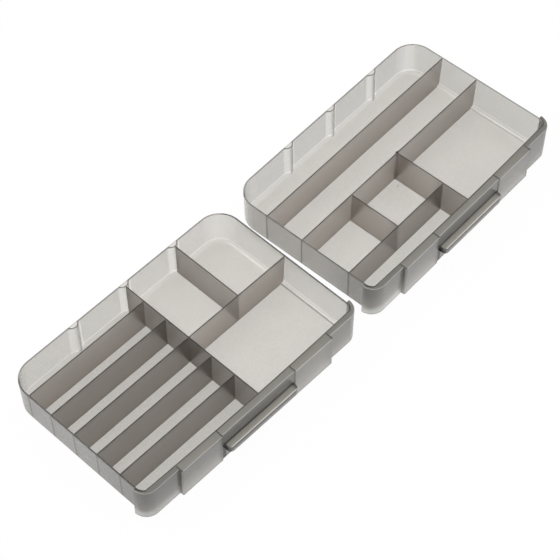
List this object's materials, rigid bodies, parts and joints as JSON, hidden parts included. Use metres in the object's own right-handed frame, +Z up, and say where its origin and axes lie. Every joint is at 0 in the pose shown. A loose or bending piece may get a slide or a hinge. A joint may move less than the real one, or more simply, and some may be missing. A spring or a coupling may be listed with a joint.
{
  "type": "divided tool box tray pair",
  "caption": "Pair of shallow rectangular pull-out trays in clear smoke grey plastic, with upright dividers, grooved backs and hung fronts with finger pulls.",
  "frame": {"origin": "centre of the pair's bounding box, on the surface the trays rest on", "axes": "+X along the pair, +Y from the finger pulls to the grooved backs, +Z up out of the trays"},
  "size_m": [0.635, 0.2208, 0.0462],
  "materials": {
    "shell_smoke": "clear smoke grey moulding, smooth",
    "front_smoke": "clear smoke grey moulding, smooth, darker where it is folded",
    "divider_smoke": "clear smoke grey sheet, smooth"
  },
  "bodies": {
    "left_tray": {"left_tray_shell": "shell_smoke", "left_front_fascia": "front_smoke", "left_finger_pull": "front_smoke", "left_cross_divider": "divider_smoke", "left_long_divider": "divider_smoke", "left_back_divider": "divider_smoke", "left_slot_divider_1": "divider_smoke", "left_slot_divider_2": "divider_smoke", "left_slot_divider_3": "divider_smoke", "left_slot_divider_4": "divider_smoke"},
    "right_tray": {"right_tray_shell": "shell_smoke", "right_front_fascia": "front_smoke", "right_finger_pull": "front_smoke", "right_cross_divider": "divider_smoke", "right_middle_divider": "divider_smoke", "right_back_divider": "divider_smoke", "right_front_divider": "divider_smoke", "right_short_divider": "divider_smoke", "right_corner_post": "divider_smoke"}
  },
  "joints": [
    {"name": "right_tray_slide", "type": "slide", "parent": "left_tray", "child": "right_tray", "axis": [0.0408, -0.9992, 0], "range_m": [0, 0.18]}
  ]
}
